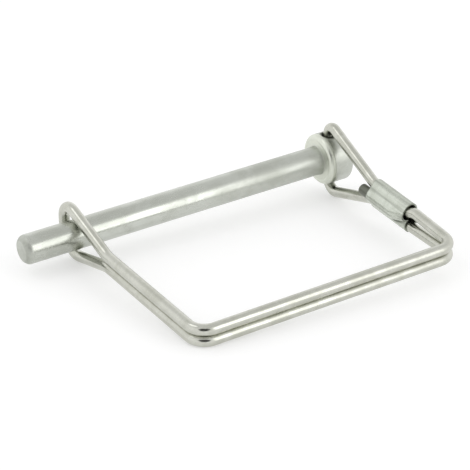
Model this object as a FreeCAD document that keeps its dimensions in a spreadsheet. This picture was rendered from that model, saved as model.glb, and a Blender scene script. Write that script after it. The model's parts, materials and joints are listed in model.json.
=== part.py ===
import FreeCAD, Part
import math
import os
import Sketcher

# Wire lock pin: a headed pin, a spring wire bail that turns in the head's cross hole and closes over
# the tip with an eye, and a crimped sleeve that joins the wire's two ends.
# Origin: centre of the shank at the head's underside. The pin runs along X with its tip at -X, the
# bail lies on the -Y side and the cross hole runs along Z. The whole thing is then tipped a few
# degrees, the way it comes to rest on the underside of its wire.

Vector = FreeCAD.Vector

SIZES = [
    # pin
    ("shank_diameter", 7.94),
    ("shank_length", 90.5),
    ("tip_chamfer", 1.1),
    ("head_diameter", 14.3),
    ("head_length", 7.6),
    ("shoulder_radius", 1.4),
    ("head_edge_chamfer", 0.6),
    ("hole_clearance", 0.35),
    ("hole_mouth_chamfer", 0.35),
    # bail
    ("wire_diameter", 3.0),
    ("strand_gap", 0.08),
    ("bail_depth", 58.8),
    ("eye_reach", 74.9),
    ("eye_corner_inset", 2.2),
    ("head_corner_inset", 1.06),
    ("corner_bend_radius", 4.5),
    ("head_top_bend_radius", 2.5),
    ("head_top_bend_height", 3.75),
    ("head_low_bend_radius", 3.4),
    ("head_low_bend_height", 3.5),
    # eye round the tip
    ("eye_clearance", 0.62),
    ("eye_top_radius", 4.2),
    ("eye_low_radius", 5.9),
    ("eye_fork", 16.5),
    ("fork_bend_radius", 10.0),
    # sleeve
    ("sleeve_start", 24.0),
    ("sleeve_length", 15.8),
    ("sleeve_wall", 0.4),
    ("sleeve_play", 0.05),
    ("sleeve_spread", 4.7),
    ("mouth_drop", 0.1),
    ("end_nest", 0.02),
    ("end_overlap", 8.0),
    ("stub_length", 3.9),
    ("sleeve_bend_radius", 6.0),
    ("mouth_stand_off", 1.2),
]


def make_sheet(doc):
    sheet = doc.addObject("Spreadsheet::Sheet", "sizes")
    for row, (alias, size) in enumerate(SIZES, start=1):
        sheet.set(f"A{row}", alias)
        sheet.set(f"B{row}", str(size))
        sheet.setAlias(f"B{row}", alias)
    doc.recompute()
    return sheet


def origin_plane(body, role):
    return next(o for o in body.Origin.OriginFeatures if o.Role == role)


def new_sketch(body, name, plane):
    sketch = body.newObject("Sketcher::SketchObject", name)
    sketch.AttachmentSupport = [(origin_plane(body, plane), "")]
    sketch.MapMode = "FlatFace"
    return sketch


def bind(sketch, kind, args, name, formula):
    """Adds a dimension, named, whose size follows the sheet."""
    index = sketch.addConstraint(Sketcher.Constraint(kind, *args))
    sketch.renameConstraint(index, name)
    sketch.setExpression(f"Constraints.{name}", formula)


def closed_profile(sketch, corners):
    """Straight-sided closed profile through (x, y, formula for x, formula for y) corners."""
    count = len(corners)
    for i, (x, y, _, _) in enumerate(corners):
        nx, ny = corners[(i + 1) % count][:2]
        sketch.addGeometry(Part.LineSegment(Vector(x, y, 0), Vector(nx, ny, 0)))
    for i in range(count):
        sketch.addConstraint(Sketcher.Constraint("Coincident", i, 2, (i + 1) % count, 1))
    for i, (x, y, along, across) in enumerate(corners):
        for kind, size, formula in (("DistanceX", x, along), ("DistanceY", y, across)):
            if formula is None:
                on_axis = -2 if kind == "DistanceX" else -1
                sketch.addConstraint(Sketcher.Constraint("PointOnObject", i, 1, on_axis))
            elif size < 0:
                bind(sketch, kind, (i, 1, -1, 1, -size), f"{kind}{i}", formula)
            else:
                bind(sketch, kind, (-1, 1, i, 1, size), f"{kind}{i}", formula)


def edges_where(shape, test):
    return [f"Edge{i}" for i, edge in enumerate(shape.Edges, start=1) if test(edge)]


def ring_edges(shape, x, radius):
    """The full-circle edges of this radius round the pin's axis at this x."""
    def matches(edge):
        curve = edge.Curve
        return (
            isinstance(curve, Part.Circle)
            and abs(curve.Radius - radius) < 1e-3
            and abs(curve.Center.x - x) < 1e-3
            and abs(curve.Axis.x) > 0.999
        )
    return edges_where(shape, matches)


def rounded(body, name, base, edges, radius):
    fillet = body.newObject("PartDesign::Fillet", name)
    fillet.Base = (base, edges)
    fillet.setExpression("Radius", radius)
    body.Document.recompute()
    return fillet


def bevelled(body, name, base, edges, width):
    chamfer = body.newObject("PartDesign::Chamfer", name)
    chamfer.Base = (base, edges)
    chamfer.setExpression("Size", width)
    body.Document.recompute()
    return chamfer


def make_pin(doc, size):
    """Headed pin, turned from one piece: shank, head, cross hole through the head."""
    body = doc.addObject("PartDesign::Body", "pin")
    profile = new_sketch(body, "pin_profile", "XY_Plane")
    shank, head = size.shank_diameter / 2, size.head_diameter / 2
    tip, flat = -size.shank_length, shank - size.tip_chamfer
    closed_profile(profile, [
        (tip, 0, "sizes.shank_length", None),
        (size.head_length, 0, "sizes.head_length", None),
        (size.head_length, head, "sizes.head_length", "sizes.head_diameter / 2"),
        (0, head, None, "sizes.head_diameter / 2"),
        (0, shank, None, "sizes.shank_diameter / 2"),
        (tip + size.tip_chamfer, shank, "sizes.shank_length - sizes.tip_chamfer",
         "sizes.shank_diameter / 2"),
        (tip, flat, "sizes.shank_length", "sizes.shank_diameter / 2 - sizes.tip_chamfer"),
    ])
    turned = body.newObject("PartDesign::Revolution", "turned_blank")
    turned.Profile = profile
    turned.ReferenceAxis = (profile, ["H_Axis"])
    turned.Angle = 360
    doc.recompute()

    shoulder = rounded(body, "shoulder", turned, ring_edges(turned.Shape, 0, head),
                       "sizes.shoulder_radius")
    bevelled(body, "head_edge", shoulder, ring_edges(shoulder.Shape, size.head_length, head),
             "sizes.head_edge_chamfer")

    outline = new_sketch(body, "cross_hole_outline", "XY_Plane")
    bore = size.wire_diameter / 2 + size.hole_clearance
    outline.addGeometry(Part.Circle(Vector(size.head_length / 2, 0, 0), Vector(0, 0, 1), bore))
    bind(outline, "Radius", (0, bore), "bore", "sizes.wire_diameter / 2 + sizes.hole_clearance")
    bind(outline, "DistanceX", (-1, 1, 0, 3, size.head_length / 2), "place",
         "sizes.head_length / 2")
    outline.addConstraint(Sketcher.Constraint("PointOnObject", 0, 3, -1))
    hole = body.newObject("PartDesign::Pocket", "cross_hole")
    hole.Profile = outline
    hole.Type = 1
    hole.Midplane = True
    doc.recompute()

    mouths = edges_where(hole.Shape, lambda e: on_hole_mouth(e, size.head_length / 2, bore, head))
    body.Tip = bevelled(body, "hole_mouths", hole, mouths, "sizes.hole_mouth_chamfer")
    return body


def on_hole_mouth(edge, centre_x, bore, head):
    """True for the rims where the cross hole breaks out of the head."""
    if isinstance(edge.Curve, (Part.Line, Part.Circle)):
        return False
    points = edge.discretize(9)
    return all(abs(math.hypot(p.x - centre_x, p.y) - bore) < 1e-2 and abs(p.z) > head / 2
               for p in points)


def rounded_route(points, radii):
    """Straight runs through the points, joined by tangent arcs of the given radii."""
    edges, start = [], points[0]
    for before, corner, after, radius in zip(points, points[1:], points[2:], radii):
        back = (before - corner).normalize()
        ahead = (after - corner).normalize()
        half = back.getAngle(ahead) / 2
        tangent = radius / math.tan(half)
        middle = (back + ahead).normalize()
        centre = corner + middle * (radius / math.sin(half))
        first, last = corner + back * tangent, corner + ahead * tangent
        edges.append(Part.LineSegment(start, first).toShape())
        edges.append(Part.Arc(first, centre - middle * radius, last).toShape())
        start = last
    edges.append(Part.LineSegment(start, points[-1]).toShape())
    return edges


def sleeve_places(size):
    """Centres of the sleeve's three wire places, across (x) and up (z) from the leg's centre-line."""
    rise = size.sleeve_spread / 2
    reach = size.wire_diameter + size.end_nest
    side = -math.sqrt(reach ** 2 - rise ** 2)
    return {"top": (0.0, rise), "side": (side, 0.0), "bottom": (0.0, -rise)}


def wire_points(size):
    """Centre-line corners of the wire, from the cut stub round the bail and back, with bend radii."""
    level = (size.wire_diameter + size.strand_gap) / 2
    hole_x = size.head_length / 2
    eye_x = -size.eye_reach
    near, far = eye_x + size.eye_corner_inset, hole_x - size.head_corner_inset
    touch = size.shank_diameter / 2 + size.wire_diameter / 2 + size.eye_clearance
    above = size.head_diameter / 2 + size.head_top_bend_height
    below = size.head_diameter / 2 + size.head_low_bend_height
    places = sleeve_places(size)

    def head_leg(y, place, z=None):
        x, up = places[place]
        lean = size.head_corner_inset * y / size.bail_depth
        return Vector(hole_x + lean + x, y, up if z is None else z)

    def eye_leg(y, z):
        return Vector(eye_x - size.eye_corner_inset * y / size.bail_depth, y, z)

    # both strands leave their level so that they pass the shank at the eye's clearance
    away = math.hypot(size.eye_fork, level)
    slope = math.asin(touch / away) - math.atan2(level, size.eye_fork)
    eye_z = level + math.tan(slope) * (size.eye_fork + touch)
    # the sleeve's head-side mouth, its other mouth, and the bends that stand clear of both
    enter, leave = -size.sleeve_start, -(size.sleeve_start + size.sleeve_length)
    before, beyond = enter + size.mouth_stand_off, leave - size.mouth_stand_off

    route = [
        (head_leg(enter + size.stub_length, "side"), 0),
        (head_leg(leave + size.sleeve_bend_radius, "side"), size.sleeve_bend_radius),
        (head_leg(beyond, "top", places["top"][1] - size.mouth_drop), size.sleeve_bend_radius),
        (Vector(far, -size.bail_depth, level), size.corner_bend_radius),
        (Vector(near, -size.bail_depth, level), size.corner_bend_radius),
        (eye_leg(-size.eye_fork, level), size.fork_bend_radius),
        (Vector(eye_x, touch, eye_z), size.eye_top_radius),
        (Vector(eye_x, touch, -eye_z), size.eye_low_radius),
        (eye_leg(-size.eye_fork, -level), size.fork_bend_radius),
        (Vector(near, -size.bail_depth, -level), size.corner_bend_radius),
        (Vector(far, -size.bail_depth, -level), size.corner_bend_radius),
        (head_leg(beyond, "bottom"), size.fork_bend_radius),
        (head_leg(before, "bottom"), size.sleeve_bend_radius),
        (Vector(hole_x, 0, -below), size.head_low_bend_radius),
        (Vector(hole_x, 0, above), size.head_top_bend_radius),
        (head_leg(before, "top"), size.sleeve_bend_radius),
        (head_leg(enter - size.end_overlap, "top"), 0),
    ]
    return [p for p, _ in route], [r for _, r in route[1:-1]]


def make_wire(doc, size):
    """The bail: one spring wire swept along its bent centre-line."""
    points, radii = wire_points(size)
    edges = rounded_route(points, radii)
    route = doc.addObject("Part::Feature", "wire_route")
    route.Shape = Part.Wire(edges)
    section = doc.addObject("Part::Circle", "wire_section")
    section.setExpression("Radius", "sizes.wire_diameter / 2")
    heading = (points[1] - points[0]).normalize()
    section.Placement = FreeCAD.Placement(
        points[0], FreeCAD.Rotation(Vector(0, 0, 1), heading))
    doc.recompute()
    wire = doc.addObject("Part::Sweep", "wire_bail")
    wire.Sections = [section]
    wire.Spine = (route, [f"Edge{i}" for i in range(1, len(edges) + 1)])
    wire.Solid = True
    wire.Frenet = False
    doc.recompute()
    return wire, route


def lobed_outline(sketch, size, wall, wall_formula):
    """Sleeve outline round the three wire places: smooth over the top, creased low on one side."""
    places = sleeve_places(size)
    top, side, low = (Vector(*places[k], 0) for k in ("top", "side", "bottom"))
    radius = size.wire_diameter / 2 + size.sleeve_play + wall
    along = (side - top).normalize()
    outward = Vector(along.y, -along.x, 0)
    over = math.atan2(outward.y, outward.x)
    middle = (side + low) / 2
    half = (side - low).Length / 2
    between = (low - side).normalize()
    crease = middle + Vector(between.y, -between.x, 0) * math.sqrt(radius ** 2 - half ** 2)
    at_side = math.atan2(crease.y - side.y, crease.x - side.x)
    at_low = math.atan2(crease.y - low.y, crease.x - low.x)
    right = Vector(radius, 0, 0)
    normal = Vector(0, 0, 1)

    def arc(centre, start, end):
        return Part.ArcOfCircle(Part.Circle(centre, normal, radius), start, end)

    turn = 2 * math.pi
    sketch.addGeometry(Part.LineSegment(low + right, top + right))
    sketch.addGeometry(arc(top, 0, over % turn))
    sketch.addGeometry(Part.LineSegment(top + outward * radius, side + outward * radius))
    sketch.addGeometry(arc(side, over % turn, at_side % turn))
    sketch.addGeometry(arc(low, at_low % turn, turn))
    for first, first_end, second, second_end in ((0, 2, 1, 1), (1, 2, 2, 1), (2, 2, 3, 1), (4, 2, 0, 1)):
        sketch.addConstraint(Sketcher.Constraint("Tangent", first, first_end, second, second_end))
    sketch.addConstraint(Sketcher.Constraint("Coincident", 3, 2, 4, 1))
    sketch.addConstraint(Sketcher.Constraint("Equal", 1, 3))
    sketch.addConstraint(Sketcher.Constraint("Equal", 1, 4))
    bind(sketch, "Radius", (1, radius), "lobe",
         f"sizes.wire_diameter / 2 + sizes.sleeve_play + {wall_formula}")
    rise = size.sleeve_spread / 2
    sketch.addConstraint(Sketcher.Constraint("PointOnObject", 1, 3, -2))
    sketch.addConstraint(Sketcher.Constraint("PointOnObject", 4, 3, -2))
    sketch.addConstraint(Sketcher.Constraint("PointOnObject", 3, 3, -1))
    bind(sketch, "DistanceY", (-1, 1, 1, 3, rise), "top_place", "sizes.sleeve_spread / 2")
    bind(sketch, "DistanceY", (4, 3, -1, 1, rise), "bottom_place", "sizes.sleeve_spread / 2")
    bind(sketch, "DistanceX", (3, 3, -1, 1, -side.x), "side_place",
         "sqrt((sizes.wire_diameter + sizes.end_nest) ^ 2 - (sizes.sleeve_spread / 2) ^ 2)")


def make_sleeve(doc, size):
    """Crimped sleeve round the wire's overlapped ends: a padded outline with its bore cut through."""
    body = doc.addObject("PartDesign::Body", "ferrule")
    outline = new_sketch(body, "sleeve_outline", "XZ_Plane")
    lobed_outline(outline, size, size.sleeve_wall, "sizes.sleeve_wall")
    outline.AttachmentOffset = FreeCAD.Placement(Vector(0, 0, size.sleeve_start), FreeCAD.Rotation())
    outline.setExpression("AttachmentOffset.Base.z", "sizes.sleeve_start")
    pad = body.newObject("PartDesign::Pad", "sleeve_blank")
    pad.Profile = outline
    pad.setExpression("Length", "sizes.sleeve_length")
    doc.recompute()
    bore = new_sketch(body, "sleeve_bore_outline", "XZ_Plane")
    lobed_outline(bore, size, 0, "0")
    pocket = body.newObject("PartDesign::Pocket", "sleeve_bore")
    pocket.Profile = bore
    pocket.Type = 1
    pocket.Midplane = True
    doc.recompute()
    body.Tip = pocket
    return body


def rest_turn(size, route):
    """The turn that lays the thing on the three lowest places of its wire: under the head, under the
    eye and at the bail's corner beside the eye."""
    lowest = route.Shape.discretize(Distance=0.2)
    middle_y, middle_x = -size.bail_depth / 2, -size.eye_reach / 2
    groups = [
        [p for p in lowest if p.y > middle_y and p.x > middle_x],
        [p for p in lowest if p.y > middle_y and p.x < middle_x],
        [p for p in lowest if p.y < middle_y and p.x < middle_x],
    ]
    up = Vector(0, 0, 1)
    for _ in range(6):
        head, eye, corner = (min(g, key=lambda p: p.dot(up)) for g in groups)
        up = (eye - head).cross(corner - head).normalize()
        if up.z < 0:
            up = -up
    return FreeCAD.Placement(Vector(0, 0, 0), FreeCAD.Rotation(up, Vector(0, 0, 1)))


class Sizes:
    """Plain numbers read from the sheet, for what an expression can't hold."""

    def __init__(self, sheet):
        for alias, _ in SIZES:
            setattr(self, alias, float(sheet.get(alias)))


def check(doc, parts):
    for item in doc.Objects:
        if "Invalid" in item.State or "Error" in item.State:
            raise RuntimeError(f"{item.Name} didn't build: {item.State}")
    for part in parts:
        if part.Shape.isNull() or not part.Shape.isValid() or len(part.Shape.Solids) != 1:
            raise RuntimeError(f"{part.Label} isn't one valid solid")


def main():
    doc = FreeCAD.newDocument("wire_lock_pin")
    size = Sizes(make_sheet(doc))
    pin = make_pin(doc, size)
    wire, route = make_wire(doc, size)
    ferrule = make_sleeve(doc, size)

    rest = rest_turn(size, route)
    lean = math.atan2(size.head_corner_inset, size.bail_depth)
    leg = FreeCAD.Placement(Vector(size.head_length / 2, 0, 0),
                            FreeCAD.Rotation(Vector(0, 0, 1), -math.degrees(lean)))
    pin.Placement = rest
    wire.Placement = rest
    ferrule.Placement = rest.multiply(leg)
    parts = (pin, wire, ferrule)
    for part in parts:
        part.Label = part.Name
    doc.recompute()
    check(doc, parts)

    os.makedirs("parts", exist_ok=True)
    for part in parts:
        part.Shape.exportStep(f"parts/{part.Label}.step")
        print(part.Label, round(part.Shape.Volume, 1), "mm3")
    print("rest turn", [round(v, 6) for v in rest.Rotation.Q])


main()
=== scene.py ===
import json
import math

import bpy
from mathutils import Matrix, Vector


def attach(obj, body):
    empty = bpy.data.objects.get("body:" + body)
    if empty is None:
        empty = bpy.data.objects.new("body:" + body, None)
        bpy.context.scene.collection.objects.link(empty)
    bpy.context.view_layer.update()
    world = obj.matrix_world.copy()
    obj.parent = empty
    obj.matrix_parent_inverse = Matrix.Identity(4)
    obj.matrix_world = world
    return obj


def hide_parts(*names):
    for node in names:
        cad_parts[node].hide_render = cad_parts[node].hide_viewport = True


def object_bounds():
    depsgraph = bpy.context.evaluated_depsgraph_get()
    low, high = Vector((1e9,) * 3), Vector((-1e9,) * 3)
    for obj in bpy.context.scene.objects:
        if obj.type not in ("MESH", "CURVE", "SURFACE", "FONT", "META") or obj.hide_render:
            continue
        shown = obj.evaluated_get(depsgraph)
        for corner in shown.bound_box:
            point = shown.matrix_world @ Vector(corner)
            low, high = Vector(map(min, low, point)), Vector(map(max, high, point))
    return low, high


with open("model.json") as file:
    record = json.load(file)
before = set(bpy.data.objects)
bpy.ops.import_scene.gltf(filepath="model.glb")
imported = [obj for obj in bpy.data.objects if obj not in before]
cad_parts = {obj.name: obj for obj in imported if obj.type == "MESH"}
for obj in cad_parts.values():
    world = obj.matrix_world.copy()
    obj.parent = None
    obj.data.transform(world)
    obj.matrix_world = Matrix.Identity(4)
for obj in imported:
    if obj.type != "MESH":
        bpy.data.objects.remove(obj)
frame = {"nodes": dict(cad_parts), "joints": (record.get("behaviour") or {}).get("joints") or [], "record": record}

# Wire lock pin: zinc-plated pin, spring wire bail and crimped sleeve, lying on a pale floor.
# Everything is in metres. Pieces and patterns are laid out along the pin's own axes, which start at the
# head's underside and are tipped a little in the frame of the solids: x runs from the tip (below 0) to the
# head, y from the bail's front (below 0) to the pin, and z up along the head's cross hole.

CAD_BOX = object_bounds()
MM = 0.001
SHANK = next(mount for mount in frame["record"]["mounts"] if mount["name"] == "shank")


def own_axes():
    """The pin's own axes as they lie, as the columns of a matrix."""
    hole = Vector(frame["joints"][0]["axis"])
    along = -Vector(SHANK["axis"])
    return Matrix((along, hole.cross(along), hole)).transposed()


def direction(azimuth, elevation):
    """Unit vector from the object towards a place seen at these angles, in degrees; 0 azimuth is -Y."""
    a, e = math.radians(azimuth), math.radians(elevation)
    return Vector((math.sin(a) * math.cos(e), -math.cos(a) * math.cos(e), math.sin(e)))


AXES = own_axes()

# Sizes and places of the solids

TIP_CHAMFER = 1.1 * MM
SHANK_RADIUS = SHANK["dims"]["r_mm"] * MM
TIP = -SHANK["dims"]["length_mm"] * MM - TIP_CHAMFER
HEAD_LENGTH = 7.6 * MM
HEAD_RADIUS = 7.15 * MM
WIRE_RADIUS = 1.5 * MM
WIRE_PLAY = 0.35 * MM
HOLE_RADIUS = WIRE_RADIUS + WIRE_PLAY
HOLE_X = HEAD_LENGTH / 2
BAIL_FRONT = -58.8 * MM
# how far the leg beside the head has moved towards the tip when it reaches the bail's front
LEG_SHIFT = 1.06 * MM
LEAN = math.atan2(LEG_SHIFT, -BAIL_FRONT)
SLEEVE_START = -24.0 * MM
SLEEVE_END = -39.8 * MM
# where the wire's run beside the sleeve's top one starts to cross over to it
CROSSING = -34.5 * MM
# the wire's cut end looks out of the sleeve's mouth, beside the leg's centre-line
STUB_X = 1.53 * MM
STUB_END = -19.8 * MM


# Node helpers

def node(tree, kind, **values):
    """Adds a node and sets its properties, or its sockets where the name is a socket's."""
    made = tree.nodes.new(kind)
    for name, value in values.items():
        if name in made.bl_rna.properties:
            setattr(made, name, value)
        else:
            made.inputs[name.replace("_", " ")].default_value = value
    return made


def connect(tree, operand, socket):
    """Feeds a socket from another one, or sets it to a number or colour."""
    if isinstance(operand, bpy.types.NodeSocket):
        tree.links.new(operand, socket)
    else:
        socket.default_value = operand


def maths(tree, operation, *operands, clamp=False):
    """A Math node; each operand is a socket or a number."""
    made = node(tree, "ShaderNodeMath", operation=operation, use_clamp=clamp)
    for operand, socket in zip(operands, made.inputs):
        connect(tree, operand, socket)
    return made.outputs[0]


def ramp(tree, value, low, high, start=0.0, end=1.0):
    """Smooth step from start at low to end at high."""
    made = node(tree, "ShaderNodeMapRange", interpolation_type="SMOOTHSTEP",
                From_Min=low, From_Max=high, To_Min=start, To_Max=end)
    tree.links.new(value, made.inputs["Value"])
    return made.outputs[0]


def fade(tree, value, low, high):
    """1 up to low, falling smoothly to 0 at high."""
    return ramp(tree, value, low, high, 1.0, 0.0)


def scaled(tree, vector, scale):
    made = node(tree, "ShaderNodeMapping", Scale=scale)
    tree.links.new(vector, made.inputs["Vector"])
    return made.outputs[0]


def noise(tree, vector, size, detail):
    """Noise from 0 to 1 with features of about this size, in metres."""
    made = node(tree, "ShaderNodeTexNoise", Scale=1.0 / size, Detail=detail)
    tree.links.new(vector, made.inputs["Vector"])
    return made.outputs["Fac"]


def mix_colour(tree, factor, first, second):
    made = node(tree, "ShaderNodeMix", data_type="RGBA")
    for operand, name in ((factor, "Factor_Float"), (first, "A_Color"), (second, "B_Color")):
        connect(tree, operand, next(socket for socket in made.inputs if socket.identifier == name))
    return next(socket for socket in made.outputs if socket.identifier == "Result_Color")


def new_group(name, inputs, outputs):
    """An empty shader node group with named sockets: (name, kind, default) in, (name, kind) out."""
    tree = bpy.data.node_groups.new(name, "ShaderNodeTree")
    for label, kind, default in inputs:
        socket = tree.interface.new_socket(label, in_out="INPUT", socket_type=kind)
        if default is not None:
            socket.default_value = default
    for label, kind in outputs:
        tree.interface.new_socket(label, in_out="OUTPUT", socket_type=kind)
    return tree, tree.nodes.new("NodeGroupInput"), tree.nodes.new("NodeGroupOutput")


def place_group(tree, group, **values):
    """Places a group with its own values, each a socket, a number or a colour."""
    made = tree.nodes.new("ShaderNodeGroup")
    made.node_tree = group
    for name, value in values.items():
        connect(tree, value, made.inputs[name.replace("_", " ")])
    return made


# Effects that more than one material uses

VECTOR, NUMBER, COLOUR = "NodeSocketVector", "NodeSocketFloat", "NodeSocketColor"


def plating_group():
    """Zinc plate: cloudy greys from a light to a dull colour, with small dull spots."""
    tree, given, out = new_group(
        "zinc_clouds",
        [("Vector", VECTOR, None), ("Light", COLOUR, (0.7, 0.7, 0.65, 1)),
         ("Dull", COLOUR, (0.5, 0.5, 0.45, 1)), ("Cloud Size", NUMBER, 6 * MM), ("Amount", NUMBER, 0.5)],
        [("Color", COLOUR), ("Clouds", NUMBER), ("Spots", NUMBER)])
    spot_size, spot_share = 0.9 * MM, 0.35
    scale = maths(tree, "DIVIDE", 1.0, given.outputs["Cloud Size"])
    broad = node(tree, "ShaderNodeTexNoise", Detail=4.0, Roughness=0.55, Distortion=0.4)
    tree.links.new(given.outputs["Vector"], broad.inputs["Vector"])
    tree.links.new(scale, broad.inputs["Scale"])
    clouds = ramp(tree, broad.outputs["Fac"], low=0.34, high=0.66)
    fine = noise(tree, given.outputs["Vector"], spot_size, detail=2.0)
    spots = ramp(tree, fine, low=0.62, high=0.74)
    cover = maths(tree, "ADD", clouds, maths(tree, "MULTIPLY", spots, spot_share))
    share = maths(tree, "MULTIPLY", cover, given.outputs["Amount"], clamp=True)
    colour = mix_colour(tree, share, given.outputs["Light"], given.outputs["Dull"])
    tree.links.new(colour, out.inputs["Color"])
    tree.links.new(clouds, out.inputs["Clouds"])
    tree.links.new(spots, out.inputs["Spots"])
    return tree


def grain_group():
    """Fine lines drawn out along one direction: the vector comes in already stretched along it."""
    tree, given, out = new_group(
        "drawn_grain", [("Vector", VECTOR, None), ("Spacing", NUMBER, 0.3 * MM)],
        [("Lines", NUMBER), ("Height", NUMBER)])
    scale = maths(tree, "DIVIDE", 1.0, given.outputs["Spacing"])
    fine = node(tree, "ShaderNodeTexNoise", Detail=3.0, Roughness=0.6)
    tree.links.new(given.outputs["Vector"], fine.inputs["Vector"])
    tree.links.new(scale, fine.inputs["Scale"])
    lines = ramp(tree, fine.outputs["Fac"], low=0.3, high=0.7)
    tree.links.new(lines, out.inputs["Lines"])
    tree.links.new(fine.outputs["Fac"], out.inputs["Height"])
    return tree


def scratches_one_way(tree, vector, turn, size):
    """Patches of scratches: the edges of long cells, turned by this angle in radians."""
    stretch, patch_size = (1.0, 9.0, 1.0), 9.0 * MM
    turned = node(tree, "ShaderNodeMapping", Rotation=(turn, turn * 0.7, turn), Scale=stretch)
    tree.links.new(vector, turned.inputs["Vector"])
    cells = node(tree, "ShaderNodeTexVoronoi", feature="DISTANCE_TO_EDGE", Scale=1.0 / size)
    tree.links.new(turned.outputs[0], cells.inputs["Vector"])
    lines = fade(tree, cells.outputs["Distance"], low=0.0, high=0.035)
    patches = ramp(tree, noise(tree, turned.outputs[0], patch_size, detail=1.0), low=0.5, high=0.62)
    return maths(tree, "MULTIPLY", lines, patches)


def scuff_group():
    """Short scratches in two directions and small dents from use."""
    tree, given, out = new_group(
        "scuffs", [("Vector", VECTOR, None), ("Amount", NUMBER, 0.5)],
        [("Scratches", NUMBER), ("Dents", NUMBER)])
    dent_spacing = 2.8 * MM
    scratches = maths(tree, "MAXIMUM",
                      scratches_one_way(tree, given.outputs["Vector"], turn=0.5, size=2.4 * MM),
                      scratches_one_way(tree, given.outputs["Vector"], turn=-0.8, size=3.1 * MM))
    pits = node(tree, "ShaderNodeTexVoronoi", feature="F1", Scale=1.0 / dent_spacing)
    tree.links.new(given.outputs["Vector"], pits.inputs["Vector"])
    dents = fade(tree, pits.outputs["Distance"], low=0.08, high=0.24)
    tree.links.new(maths(tree, "MULTIPLY", scratches, given.outputs["Amount"]), out.inputs["Scratches"])
    tree.links.new(maths(tree, "MULTIPLY", dents, given.outputs["Amount"]), out.inputs["Dents"])
    return tree


def band_group():
    """1 between two places along a value and 0 outside them, with soft ends: for edges and recesses."""
    tree, given, out = new_group(
        "band",
        [("Value", NUMBER, 0.0), ("Low", NUMBER, 0.0), ("High", NUMBER, 1.0), ("Soft", NUMBER, 0.1)],
        [("Mask", NUMBER)])
    value, low, high, soft = (given.outputs[name] for name in ("Value", "Low", "High", "Soft"))
    rise = maths(tree, "DIVIDE", maths(tree, "SUBTRACT", value, low), soft, clamp=True)
    fall = maths(tree, "DIVIDE", maths(tree, "SUBTRACT", high, value), soft, clamp=True)
    tree.links.new(maths(tree, "MULTIPLY", rise, fall), out.inputs["Mask"])
    return tree


CLOUDS = plating_group()
GRAIN = grain_group()
SCUFFS = scuff_group()
BAND = band_group()


def band(tree, value, low, high, soft):
    return place_group(tree, BAND, Value=value, Low=low, High=high, Soft=soft).outputs["Mask"]


# Materials: colours of the plate where it is bright and where it is dull, of tarnish and painted shade, of rubbed
# places and of a painted highlight

PIN_BRIGHT = (0.585, 0.605, 0.56, 1.0)
PIN_DULL = (0.43, 0.445, 0.395, 1.0)
WIRE_BRIGHT = (0.60, 0.605, 0.55, 1.0)
WIRE_DULL = (0.44, 0.445, 0.38, 1.0)
SLEEVE_BRIGHT = (0.63, 0.665, 0.595, 1.0)
SLEEVE_DULL = (0.46, 0.485, 0.42, 1.0)
# dark colour for real tarnish and for painted shade in the hole, groove, crease, tip's chamfer and mouths
DARK_TARNISH_AND_SHADE = (0.10, 0.11, 0.085, 1.0)
BARE_EDGE = (0.78, 0.80, 0.74, 1.0)
# pale colour painted on the shoulder's ring as a painted highlight
RING_PAINTED_HIGHLIGHT = (0.84, 0.87, 0.76, 1.0)

# how patterns are stretched: a low scale draws them out along that one of the pin's own axes
ALONG_PIN = (0.05, 1.0, 1.0)
ALONG_LEGS = (1.0, 0.05, 1.0)
ROUND_PIN = (1.0, 0.02, 0.02)
ALONG_SLEEVE = (1.0, 0.035, 1.0)
ALONG_JAWS = (1.0, 0.03, 1.0)


class Finish:
    """A plated metal under way: its nodes, the pin's own coordinates, and what is built up so far."""

    def __init__(self, name):
        self.material = bpy.data.materials.new(name)
        self.material.use_nodes = True
        self.tree = self.material.node_tree
        self.shader = self.tree.nodes["Principled BSDF"]
        self.shader.inputs["Metallic"].default_value = 1.0
        place = self.tree.nodes.new("ShaderNodeTexCoord")
        turn = node(self.tree, "ShaderNodeMapping", Rotation=AXES.transposed().to_euler())
        self.tree.links.new(place.outputs["Object"], turn.inputs["Vector"])
        self.own = turn.outputs[0]
        split = self.tree.nodes.new("ShaderNodeSeparateXYZ")
        self.tree.links.new(self.own, split.inputs[0])
        self.x, self.y, self.z = split.outputs
        self.colour = None
        self.roughness = None
        self.height = None

    def maths(self, operation, *operands):
        return maths(self.tree, operation, *operands)

    def radius(self, first, second):
        """Distance from an axis, from the two coordinates across it."""
        squares = self.maths("MULTIPLY", first, first), self.maths("MULTIPLY", second, second)
        return self.maths("SQRT", self.maths("ADD", *squares))

    def tint(self, mask, share, colour):
        """Mixes this share of a colour in under a mask."""
        self.colour = mix_colour(self.tree, self.maths("MULTIPLY", mask, share), self.colour, colour)

    def roughen(self, mask, amount):
        self.roughness = self.maths("MULTIPLY_ADD", mask, amount, self.roughness)

    def add_tarnish_and_shade(self, mask, share):
        """Darker and duller under a mask: real tarnish in some places, painted shade in others."""
        self.tint(mask, share, DARK_TARNISH_AND_SHADE)
        self.roughen(mask, 0.25 * share)

    def emboss(self, pattern, depth):
        """Adds a pattern to the surface's height; a depth below 0 presses it in."""
        part = self.maths("MULTIPLY", pattern, depth)
        self.height = part if self.height is None else self.maths("ADD", self.height, part)

    def complete(self):
        bump = node(self.tree, "ShaderNodeBump", Strength=1.0, Distance=1.0)
        self.tree.links.new(self.height, bump.inputs["Height"])
        for name, socket in (("Base Color", self.colour), ("Roughness", self.roughness),
                             ("Normal", bump.outputs[0])):
            self.tree.links.new(socket, self.shader.inputs[name])
        return self.material


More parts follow.
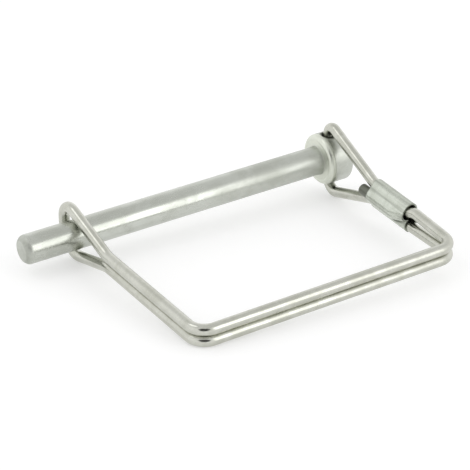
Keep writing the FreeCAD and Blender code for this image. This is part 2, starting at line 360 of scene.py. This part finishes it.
def zinc_finish(name, bright, dull, cloud_size, stretch, spacing, lining, rough, scuffing,
                wave_size, wave_depth):
    """Clouds, drawn lines, scuffs and waviness. Returns the finish and the lines' height, not yet added."""
    made = Finish(name)
    clouds = place_group(made.tree, CLOUDS, Vector=made.own, Light=bright, Dull=dull,
                         Cloud_Size=cloud_size, Amount=0.55)
    grain = place_group(made.tree, GRAIN, Vector=scaled(made.tree, made.own, stretch), Spacing=spacing)
    scuffs = place_group(made.tree, SCUFFS, Vector=made.own, Amount=scuffing)
    made.colour = clouds.outputs["Color"]
    made.tint(grain.outputs["Lines"], share=lining, colour=dull)
    made.tint(scuffs.outputs["Scratches"], share=0.5, colour=BARE_EDGE)
    made.roughness = rough
    made.roughen(clouds.outputs["Clouds"], amount=0.07)
    made.roughen(grain.outputs["Lines"], amount=0.05)
    made.roughen(clouds.outputs["Spots"], amount=0.06)
    made.emboss(noise(made.tree, made.own, wave_size, detail=1.5), depth=wave_depth)
    made.emboss(scuffs.outputs["Dents"], depth=-0.012 * MM)
    made.emboss(scuffs.outputs["Scratches"], depth=-0.004 * MM)
    return made, grain.outputs["Height"]


# Where the head's turned groove lies along its barrel

GROOVE_START = 1.50 * MM
GROOVE_END = 1.84 * MM


def add_turning_rings(made):
    """Faint rings left by the lathe, deeper on the head."""
    rings = noise(made.tree, scaled(made.tree, made.own, ROUND_PIN), size=0.35 * MM, detail=2.0)
    on_head = band(made.tree, made.x, low=-0.2 * MM, high=2 * HEAD_LENGTH, soft=0.3 * MM)
    strength = made.maths("MULTIPLY_ADD", on_head, 0.3, 0.2)
    made.emboss(made.maths("MULTIPLY", rings, strength), depth=0.006 * MM)


def paint_hole_shade(made):
    """Painted shade inside the cross hole, fading out beyond its mouths."""
    from_hole = made.radius(made.maths("SUBTRACT", made.x, HOLE_X), made.y)
    inside = fade(made.tree, from_hole, low=HOLE_RADIUS + 0.35 * MM, high=HOLE_RADIUS + 0.9 * MM)
    # painted shade in the hole
    made.add_tarnish_and_shade(inside, share=0.9)


def paint_shoulder_light_and_groove_shade(made, from_axis):
    """The ring round the shank and the shoulder are painted pale as a painted highlight; painted shade lies in the
    groove.
    """
    at_shoulder = band(made.tree, made.x, low=-0.3 * MM, high=2.0 * MM, soft=0.3 * MM)
    off_shank = ramp(made.tree, from_axis, low=SHANK_RADIUS + 0.03 * MM, high=SHANK_RADIUS + 0.43 * MM)
    # painted highlight on the ring and the shoulder
    made.tint(made.maths("MULTIPLY", at_shoulder, off_shank), share=0.6, colour=RING_PAINTED_HIGHLIGHT)
    in_groove = band(made.tree, made.x, low=GROOVE_START - 0.08 * MM, high=GROOVE_END + 0.08 * MM,
                     soft=0.12 * MM)
    outside = ramp(made.tree, from_axis, low=HEAD_RADIUS - 1.15 * MM, high=HEAD_RADIUS - 0.55 * MM)
    # painted shade in the groove
    made.add_tarnish_and_shade(made.maths("MULTIPLY", in_groove, outside), share=0.25)


def dull_tip_and_shade_chamfer(made, from_axis):
    """The tip is duller than the shank, and its chamfer a little darker with painted shade."""
    near_tip = fade(made.tree, made.x, low=TIP + TIP_CHAMFER, high=TIP + 2 * TIP_CHAMFER)
    made.roughen(near_tip, amount=0.28)
    at_tip = fade(made.tree, made.x, low=TIP + 0.1 * MM, high=TIP + 1.5 * MM)
    on_chamfer = band(made.tree, from_axis, low=2.6 * MM, high=4.0 * MM, soft=0.4 * MM)
    # painted shade on the chamfer
    made.add_tarnish_and_shade(made.maths("MULTIPLY", at_tip, on_chamfer), share=0.14)


def dull_and_shade_towards_head(made, from_axis):
    """The plate grows more matt from a third of the way up the shank on, but less so on the head, and the same
    mask paints shade into its colour.
    """
    along = ramp(made.tree, made.x, low=-60 * MM, high=-2 * MM)
    outwards = ramp(made.tree, from_axis, low=4.2 * MM, high=6.0 * MM, start=1.0, end=0.6)
    matt_and_shade = made.maths("MULTIPLY", along, outwards)
    # painted shade: the colour darkens towards the head
    made.tint(matt_and_shade, share=0.2, colour=PIN_DULL)
    made.roughen(matt_and_shade, amount=0.2)


def pin_material():
    """Turned and plated: drawn lines along the shank, faint rings, a dark hole, a rubbed shoulder."""
    made, lines = zinc_finish(
        "zinc_on_pin", PIN_BRIGHT, PIN_DULL, cloud_size=7.0 * MM, stretch=ALONG_PIN, spacing=0.75 * MM,
        lining=0.22, rough=0.18, scuffing=0.4, wave_size=5.0 * MM, wave_depth=0.03 * MM)
    from_axis = made.radius(made.y, made.z)
    made.emboss(lines, depth=0.012 * MM)
    add_turning_rings(made)
    paint_hole_shade(made)
    paint_shoulder_light_and_groove_shade(made, from_axis)
    dull_tip_and_shade_chamfer(made, from_axis)
    dull_and_shade_towards_head(made, from_axis)
    return made.complete()


def darken_stub(made):
    """The wire's cut end is dark from the sleeve's mouth to its own: dark raw steel, with painted shade between
    the strands there.
    """
    from_stub = made.radius(made.maths("SUBTRACT", made.x, STUB_X), made.z)
    near = fade(made.tree, from_stub, low=WIRE_RADIUS + 0.06 * MM, high=WIRE_RADIUS + 0.5 * MM)
    along = band(made.tree, made.y, low=SLEEVE_START - 1.0 * MM, high=STUB_END, soft=0.25 * MM)
    # dark raw cut end and painted shade between the strands
    made.add_tarnish_and_shade(made.maths("MULTIPLY", near, along), share=0.85)


def wire_material():
    """Drawn spring wire: lines run along each side of the bail; the cut end is dark, partly with painted shade."""
    spacing = 0.5 * MM
    made, front_lines = zinc_finish(
        "zinc_on_wire", WIRE_BRIGHT, WIRE_DULL, cloud_size=5.0 * MM, stretch=ALONG_PIN, spacing=spacing,
        lining=0.22, rough=0.15, scuffing=0.4, wave_size=6.0 * MM, wave_depth=0.03 * MM)
    legs = place_group(made.tree, GRAIN, Vector=scaled(made.tree, made.own, ALONG_LEGS), Spacing=spacing)
    on_front = fade(made.tree, made.y, low=BAIL_FRONT + 2.3 * MM, high=BAIL_FRONT + 3.8 * MM)
    on_legs = made.maths("SUBTRACT", 1.0, on_front)
    lines = made.maths("ADD", made.maths("MULTIPLY", front_lines, on_front),
                       made.maths("MULTIPLY", legs.outputs["Height"], on_legs))
    made.emboss(lines, depth=0.010 * MM)
    darken_stub(made)
    # the front run grows a little more matt towards the sleeve's side
    towards_head = ramp(made.tree, made.x, low=-70 * MM, high=-10 * MM)
    made.roughen(made.maths("MULTIPLY", on_front, towards_head), amount=0.12)
    return made.complete()


def paint_crease_shade(made):
    """Painted shade in the crease, which runs along the sleeve and turns up towards its far mouth."""
    crease_across, crease_up = -1.95 * MM, -2.0 * MM
    turn_across, turn_up = 0.65 * MM, 0.62 * MM
    turn = ramp(made.tree, made.y, CROSSING, SLEEVE_END)
    from_hole = made.maths("SUBTRACT", made.x, HOLE_X)
    across = made.maths("MULTIPLY_ADD", made.y, -math.tan(LEAN), from_hole)
    from_crease = made.radius(
        made.maths("SUBTRACT", across, made.maths("MULTIPLY_ADD", turn, turn_across, crease_across)),
        made.maths("SUBTRACT", made.z, made.maths("MULTIPLY_ADD", turn, turn_up, crease_up)))
    # painted shade in the crease
    made.add_tarnish_and_shade(fade(made.tree, from_crease, low=0.15 * MM, high=0.6 * MM), share=0.75)


def sleeve_material():
    """Soft plated sleeve: lengthwise marks of the crimping jaws, painted shade in the crease, and dark cut ends
    with painted shade at the mouths.
    """
    made, lines = zinc_finish(
        "zinc_on_sleeve", SLEEVE_BRIGHT, SLEEVE_DULL, cloud_size=4.0 * MM, stretch=ALONG_SLEEVE,
        spacing=1.3 * MM, lining=0.6, rough=0.20, scuffing=0.7, wave_size=3.0 * MM, wave_depth=0.04 * MM)
    made.emboss(lines, depth=0.075 * MM)
    marks = noise(made.tree, scaled(made.tree, made.own, ALONG_JAWS), size=1.1 * MM, detail=2.0)
    made.add_tarnish_and_shade(ramp(made.tree, marks, low=0.44, high=0.6), share=0.34)
    paint_crease_shade(made)
    # dark cut ends, with painted shade at the mouths
    wall = band(made.tree, made.y, low=SLEEVE_END + 0.02 * MM, high=SLEEVE_START - 0.02 * MM, soft=0.35 * MM)
    made.add_tarnish_and_shade(made.maths("SUBTRACT", 1.0, wall), share=0.85)
    return made.complete()


# Modelling helpers

def start_clean():
    """Leaves edit mode and deselects everything."""
    if bpy.context.object and bpy.context.object.mode != "OBJECT":
        bpy.ops.object.mode_set(mode="OBJECT")
    bpy.ops.object.select_all(action="DESELECT")


def pick(*pieces):
    """Selects these pieces alone; the first one becomes active."""
    start_clean()
    for piece in pieces:
        piece.select_set(True)
    bpy.context.view_layer.objects.active = pieces[0]


def join(*pieces):
    pick(*pieces)
    bpy.ops.object.join()
    return pieces[0]


def apply_modifier(piece, kind, **settings):
    modifier = piece.modifiers.new(kind.lower(), kind)
    for name, value in settings.items():
        setattr(modifier, name, value)
    pick(piece)
    bpy.ops.object.modifier_apply(modifier=modifier.name)


def smooth_below(piece, degrees):
    """Shades a piece smooth, but for edges sharper than this."""
    pick(piece)
    bpy.ops.object.shade_smooth_by_angle(angle=math.radians(degrees))


def recalculate_normals():
    bpy.ops.mesh.select_all(action="SELECT")
    bpy.ops.mesh.normals_make_consistent(inside=False)


def place_in_mesh():
    """Puts the selected object's place into its mesh, so that the object itself sits at the origin."""
    bpy.ops.object.transform_apply(location=True, rotation=True, scale=True)


def give(piece, material):
    piece.data.materials.clear()
    piece.data.materials.append(material)


# Crimped sleeve: the places of the runs are (across, up) from the centre-line of the leg that it sits on

SLEEVE_STEPS = 26
SLEEVE_SIDES = 112
SLEEVE_WALL = 0.42 * MM
SLEEVE_RIM_ROUND = 0.09 * MM
# how far the sleeve's inside stands off its former
SLEEVE_GAP = 0.06 * MM
# the wide tube that is pressed into the sleeve, and how far it stands to one side of the leg
TUBE_RADIUS = 5.0 * MM
TUBE_SHIFT = -0.3 * MM
ROD_SIDES = 64
FORMER_PAST_ENDS = 4 * MM
TOP_RUN = (0.0, 2.35 * MM)
LOW_RUN = (0.0, -2.35 * MM)
LOW_RUN_FAR = (0.0, 0.9 * -2.35 * MM)
SIDE_RUN = (-1.88 * MM, 0.0)
CROSSED_RUN = (-0.1 * MM, 2.25 * MM)
# the web between the rods: from the crease's floor across to the flat side, and half its height
WEB_CREASE = -0.75 * MM
WEB_FLAT = WIRE_RADIUS
WEB_RISE = 2.2 * MM


def leg_point(across, along, up):
    """A place by the sleeve's leg: across and up from its centre-line, along from the pin (below 0)."""
    return AXES @ Vector((HOLE_X + math.tan(LEAN) * along + across, along, up))


def leg_turn():
    """Turn that sets a primitive's own axis along the leg, away from the pin."""
    along = AXES @ Vector((-math.sin(LEAN), -math.cos(LEAN), 0.0))
    return along.to_track_quat("Z", "Y").to_euler()


def leg_rod(start, from_place, end, to_place):
    """A rod as thick as the wire, from one place at start along the leg to another place at end."""
    first = leg_point(from_place[0], start, from_place[1])
    last = leg_point(to_place[0], end, to_place[1])
    start_clean()
    bpy.ops.mesh.primitive_cylinder_add(
        vertices=ROD_SIDES, radius=WIRE_RADIUS, depth=(last - first).length, location=(first + last) / 2,
        rotation=(last - first).to_track_quat("Z", "Y").to_euler())
    return bpy.context.object


def spanned_rods(start, end, end_place):
    """The top rod and the one beside it, with the hollow between them spanned, as the sheet spans it."""
    pair = join(leg_rod(start, TOP_RUN, end, TOP_RUN), leg_rod(start, SIDE_RUN, end, end_place))
    pick(pair)
    bpy.ops.object.mode_set(mode="EDIT")
    bpy.ops.mesh.select_all(action="SELECT")
    bpy.ops.mesh.convex_hull()
    return pair


def crease_web(start, end):
    """A block between the rods: as far in as the jaws press the crease, and flat on the other side."""
    start_clean()
    bpy.ops.mesh.primitive_cube_add(
        size=1.0, location=leg_point((WEB_CREASE + WEB_FLAT) / 2, (start + end) / 2, 0.0),
        rotation=leg_turn(), scale=(WEB_FLAT - WEB_CREASE, 2 * WEB_RISE, start - end))
    return bpy.context.object


def make_former():
    """What the sleeve is pressed on: a low rod, a top rod, and one beside that, which crosses over to it."""
    start, end = SLEEVE_START + FORMER_PAST_ENDS, SLEEVE_END - FORMER_PAST_ENDS
    return join(leg_rod(start, LOW_RUN, end, LOW_RUN_FAR),
                spanned_rods(start, CROSSING, SIDE_RUN),
                spanned_rods(CROSSING, end, CROSSED_RUN),
                crease_web(start, end))


def drawn_tube():
    """A wide open tube along the leg, as long as the sleeve."""
    start_clean()
    bpy.ops.mesh.primitive_circle_add(
        vertices=SLEEVE_SIDES, radius=TUBE_RADIUS, fill_type="NOTHING",
        location=leg_point(TUBE_SHIFT, SLEEVE_START, 0.0), rotation=leg_turn())
    tube = bpy.context.object
    tube.name = "crimped_sleeve"
    step = (leg_point(0, SLEEVE_END, 0) - leg_point(0, SLEEVE_START, 0)) / SLEEVE_STEPS
    bpy.ops.object.mode_set(mode="EDIT")
    bpy.ops.mesh.select_all(action="SELECT")
    for _ in range(SLEEVE_STEPS):
        bpy.ops.mesh.extrude_region_move(TRANSFORM_OT_translate={"value": step})
    recalculate_normals()
    bpy.ops.object.mode_set(mode="OBJECT")
    place_in_mesh()
    return tube


def make_sleeve():
    """A tube pressed on to the wires' former, then given its wall and softened rims."""
    former = make_former()
    sleeve = drawn_tube()
    apply_modifier(sleeve, "SHRINKWRAP", target=former, wrap_method="PROJECT", wrap_mode="ABOVE_SURFACE",
                   use_negative_direction=True, use_positive_direction=False, offset=SLEEVE_GAP)
    apply_modifier(sleeve, "SHRINKWRAP", target=former, wrap_method="NEAREST_SURFACEPOINT",
                   wrap_mode="ABOVE_SURFACE", offset=SLEEVE_GAP)
    apply_modifier(sleeve, "SMOOTH", factor=0.5, iterations=5)
    apply_modifier(sleeve, "SOLIDIFY", thickness=SLEEVE_WALL, offset=1.0, use_even_offset=True)
    apply_modifier(sleeve, "BEVEL", width=SLEEVE_RIM_ROUND, segments=2, limit_method="ANGLE",
                   angle_limit=math.radians(60))
    bpy.data.objects.remove(former)
    smooth_below(sleeve, 40)
    return sleeve


# Turned pin: the short runs of its outline are steps (along, out) from the surface that they lie on

PIN_SIDES = 144
TIP_FLAT_ROUND = 0.9 * MM
TIP_SIDE_ROUND = 1.9 * MM
SHANK_MIDDLE = -45 * MM
SHOULDER_ROUND = 1.4 * MM
SHOULDER_RADIUS = HEAD_RADIUS - SHOULDER_ROUND
HEAD_EDGE_ROUND = 0.8 * MM
HEAD_CENTRE_RADIUS = 3.0 * MM
GROOVE_DEPTH = 0.09 * MM
FILLET_ON_SHANK = [(-0.45 * MM, 0.0), (-0.12 * MM, 0.10 * MM), (0.0, 0.40 * MM)]
SEAT_EDGE_BY_SHOULDER = [(0.0, -0.25 * MM), (0.07 * MM, -0.12 * MM)]
GROOVE_IN_BARREL = [(GROOVE_START, -GROOVE_DEPTH), (1.72 * MM, -GROOVE_DEPTH), (GROOVE_END, 0.0)]
DRILL_SIDES = 96
# how much wider the drill grows (out) than the hole, from below the barrel's surface to above it (along)
MOUTH_FLARE = [(-0.8 * MM, 0.0), (-0.55 * MM, 0.03 * MM), (-0.35 * MM, 0.11 * MM), (-0.15 * MM, 0.27 * MM),
               (0.0, 0.51 * MM), (0.2 * MM, 0.95 * MM), (0.65 * MM, 2.05 * MM)]


def arc(centre_x, centre_r, radius, first, last, steps):
    """Places (x, r) round an arc of the pin's outline; 0 degrees points to the tip, 90 outwards."""
    angles = [math.radians(first + (last - first) * i / steps) for i in range(steps + 1)]
    return [(centre_x - radius * math.cos(a), centre_r + radius * math.sin(a)) for a in angles]


def stepped(surface, steps):
    """Places (x, r) from steps along and out from a surface of this radius."""
    return [(along, surface + out) for along, out in steps]


def tip_outline():
    """The tip's flat, its chamfer with both edges softened, and the start of the shank."""
    back = math.tan(math.radians(45 / 2))
    flat_radius = SHANK_RADIUS - TIP_CHAMFER - back * TIP_FLAT_ROUND
    side_start = TIP + TIP_CHAMFER + back * TIP_SIDE_ROUND
    return (arc(TIP + TIP_FLAT_ROUND, flat_radius, TIP_FLAT_ROUND, 0, 45, steps=5)
            + arc(side_start, SHANK_RADIUS - TIP_SIDE_ROUND, TIP_SIDE_ROUND, 45, 90, steps=6))


def head_outline():
    """The seat's edge, the rounded shoulder, the groove, the barrel, and the rounded edge of its end."""
    edge_start = HEAD_LENGTH - HEAD_EDGE_ROUND
    return (stepped(SHOULDER_RADIUS, SEAT_EDGE_BY_SHOULDER)
            + arc(SHOULDER_ROUND, SHOULDER_RADIUS, SHOULDER_ROUND, 4, 90, steps=9)
            + stepped(HEAD_RADIUS, GROOVE_IN_BARREL)
            + [(edge_start, HEAD_RADIUS)]
            + arc(edge_start, HEAD_RADIUS - HEAD_EDGE_ROUND, HEAD_EDGE_ROUND, 100, 180, steps=7)
            + [(HEAD_LENGTH, HEAD_CENTRE_RADIUS)])


def pin_outline():
    return (tip_outline() + [(SHANK_MIDDLE, SHANK_RADIUS)] + stepped(SHANK_RADIUS, FILLET_ON_SHANK)
            + head_outline())


def drill_outline():
    """The drill for the cross hole, from one end to the other: straight inside, flared at both mouths."""
    half = [(HEAD_RADIUS + along, HOLE_RADIUS + out) for along, out in MOUTH_FLARE]
    return [(-along, radius) for along, radius in reversed(half)] + half


def turned_form(name, outline, sides):
    """A ring drawn out and resized along an outline of (x, radius) places, and capped."""
    x, radius = outline[0]
    start_clean()
    bpy.ops.mesh.primitive_circle_add(vertices=sides, radius=radius, fill_type="NOTHING",
                                      location=(x, 0, 0), rotation=(0, math.pi / 2, 0))
    form = bpy.context.object
    form.name = name
    bpy.ops.object.mode_set(mode="EDIT")
    bpy.ops.mesh.select_all(action="SELECT")
    for next_x, next_radius in outline[1:]:
        bpy.ops.mesh.extrude_region_move(TRANSFORM_OT_translate={"value": (next_x - x, 0, 0)})
        share = next_radius / radius
        bpy.ops.transform.resize(value=(1, share, share), center_override=(next_x, 0, 0))
        x, radius = next_x, next_radius
    bpy.ops.mesh.select_all(action="SELECT")
    bpy.ops.mesh.fill_holes(sides=0)
    recalculate_normals()
    bpy.ops.object.mode_set(mode="OBJECT")
    place_in_mesh()
    return form


def place_form(form, matrix):
    form.matrix_world = matrix
    pick(form)
    place_in_mesh()


def make_pin():
    """The pin's turned form, drilled across the head."""
    pin = turned_form("turned_pin", pin_outline(), PIN_SIDES)
    drill = turned_form("drill", drill_outline(), DRILL_SIDES)
    place_form(drill, Matrix.Translation((HOLE_X, 0, 0)) @ Matrix.Rotation(math.pi / 2, 4, "Y"))
    apply_modifier(pin, "BOOLEAN", object=drill, operation="DIFFERENCE", solver="EXACT")
    bpy.data.objects.remove(drill)
    smooth_below(pin, 38)
    apply_modifier(pin, "WEIGHTED_NORMAL", keep_sharp=True)
    place_form(pin, AXES.to_4x4())
    return pin


# Floor and studio light

FLOOR_SIZE = 6.0
FLOOR_COLOUR = (0.66, 0.66, 0.66, 1.0)
FLOOR_LIFT = 0.42
DOME_TOP = 0.82
DOME_SIDE = 1.12
DOME_OPENING = 0.05
# half-angles of the dome's dark opening, in degrees, where it starts and where it is fully dark
OPENING_EDGE = 27
OPENING_CORE = 21
LAMP_AIM = Vector((-35 * MM, -30 * MM, 0.0))
LAMP_DISTANCE = 0.9


def make_floor():
    """Matt and pale; for the camera and in reflections it is lifted to white, and keeps the shadow."""
    start_clean()
    bpy.ops.mesh.primitive_plane_add(size=FLOOR_SIZE, location=(0, 0, CAD_BOX[0][2]))
    floor = bpy.context.object
    floor.name = "floor"
    place_in_mesh()
    material = bpy.data.materials.new("pale_floor")
    material.use_nodes = True
    tree = material.node_tree
    shader = tree.nodes["Principled BSDF"]
    shader.inputs["Base Color"].default_value = FLOOR_COLOUR
    shader.inputs["Roughness"].default_value = 0.9
    shader.inputs["Specular IOR Level"].default_value = 0.0
    lift = node(tree, "ShaderNodeEmission", Strength=FLOOR_LIFT)
    both = tree.nodes.new("ShaderNodeAddShader")
    seen = tree.nodes.new("ShaderNodeLightPath")
    choice = tree.nodes.new("ShaderNodeMixShader")
    mirrored = maths(tree, "MAXIMUM", seen.outputs["Is Glossy Ray"], seen.outputs["Is Transmission Ray"])
    shown = maths(tree, "MAXIMUM", seen.outputs["Is Camera Ray"], mirrored)
    tree.links.new(shader.outputs[0], both.inputs[0])
    tree.links.new(lift.outputs[0], both.inputs[1])
    tree.links.new(shown, choice.inputs[0])
    tree.links.new(shader.outputs[0], choice.inputs[1])
    tree.links.new(both.outputs[0], choice.inputs[2])
    tree.links.new(choice.outputs[0], tree.nodes["Material Output"].inputs["Surface"])
    give(floor, material)


def make_dome(camera_side):
    """A white tent: paler round the sides than overhead, with a dark opening towards the camera."""
    world = bpy.data.worlds.new("tent")
    bpy.context.scene.world = world
    world.use_nodes = True
    tree = world.node_tree
    background = tree.nodes["Background"]
    background.inputs["Color"].default_value = (1.0, 1.0, 1.0, 1.0)
    place = tree.nodes.new("ShaderNodeTexCoord")
    split = tree.nodes.new("ShaderNodeSeparateXYZ")
    tree.links.new(place.outputs["Generated"], split.inputs[0])
    sides = ramp(tree, split.outputs["Z"], low=0.45, high=0.85, start=DOME_SIDE, end=DOME_TOP)
    aim = node(tree, "ShaderNodeVectorMath", operation="DOT_PRODUCT")
    aim.inputs[1].default_value = camera_side
    tree.links.new(place.outputs["Generated"], aim.inputs[0])
    edge, core = math.cos(math.radians(OPENING_EDGE)), math.cos(math.radians(OPENING_CORE))
    opening = ramp(tree, aim.outputs["Value"], low=edge, high=core, start=1.0, end=DOME_OPENING)
    tree.links.new(maths(tree, "MULTIPLY", sides, opening), background.inputs["Strength"])


def make_softbox(name, azimuth, elevation, width, height, watts):
    data = bpy.data.lights.new(name, "AREA")
    data.shape = "RECTANGLE"
    data.size = width
    data.size_y = height
    data.energy = watts
    lamp = bpy.data.objects.new(name, data)
    bpy.context.scene.collection.objects.link(lamp)
    towards = direction(azimuth, elevation)
    lamp.location = LAMP_AIM + towards * LAMP_DISTANCE
    lamp.rotation_euler = towards.to_track_quat("Z", "Y").to_euler()


# Camera, found by calibration: angles in degrees, focus and places in the photograph's pixels

PICTURE = 470
PHOTO_AZIMUTH = -32.388
PHOTO_ELEVATION = 30.925
PHOTO_DISTANCE = 0.48838
PHOTO_FOCUS = 991.4
# where the photograph shows the aim point, and what comes to the middle of the frame
PHOTO_AIM = (371.15, 178.18)
PHOTO_MIDDLE = (354.6, 174.9)
AIM_POINT = Vector((-35.0 * MM, -29.4 * MM, 0.0))
ENLARGED = 1.92
SENSOR = 36.0
NEAREST_SEEN = 10 * MM


def make_camera():
    """The photograph's view, enlarged to fill the frame, and turned a little so that it needs no shift."""
    data = bpy.data.cameras.new("camera")
    data.sensor_width = SENSOR
    data.lens = PHOTO_FOCUS * ENLARGED * SENSOR / PICTURE
    data.clip_start = NEAREST_SEEN
    camera = bpy.data.objects.new("camera", data)
    bpy.context.scene.collection.objects.link(camera)
    back = direction(PHOTO_AZIMUTH, PHOTO_ELEVATION)
    right = Vector((0, 0, 1)).cross(back).normalized()
    up = back.cross(right)
    place = AIM_POINT + back * PHOTO_DISTANCE
    back -= right * (PHOTO_MIDDLE[0] - PHOTO_AIM[0]) / PHOTO_FOCUS
    back -= up * (PHOTO_AIM[1] - PHOTO_MIDDLE[1]) / PHOTO_FOCUS
    back.normalize()
    right = up.cross(back).normalized()
    turn = AXES @ Matrix((right, back.cross(right), back)).transposed()
    camera.matrix_world = Matrix.Translation(AXES @ place) @ turn.to_4x4()
    bpy.context.scene.camera = camera


# The scene

make_camera()
make_floor()
make_dome(AXES @ direction(PHOTO_AZIMUTH, PHOTO_ELEVATION))
make_softbox("front_right_softbox", azimuth=24, elevation=22, width=0.42, height=0.72, watts=1.1)
make_softbox("high_back_left_softbox", azimuth=-119, elevation=60, width=0.40, height=0.34, watts=0.40)

pin = make_pin()
give(pin, pin_material())
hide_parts("pin")
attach(pin, "pin")

give(frame["nodes"]["wire_bail"], wire_material())

sleeve = make_sleeve()
give(sleeve, sleeve_material())
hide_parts("ferrule")
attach(sleeve, "bail")

bpy.context.scene.view_settings.view_transform = "Standard"
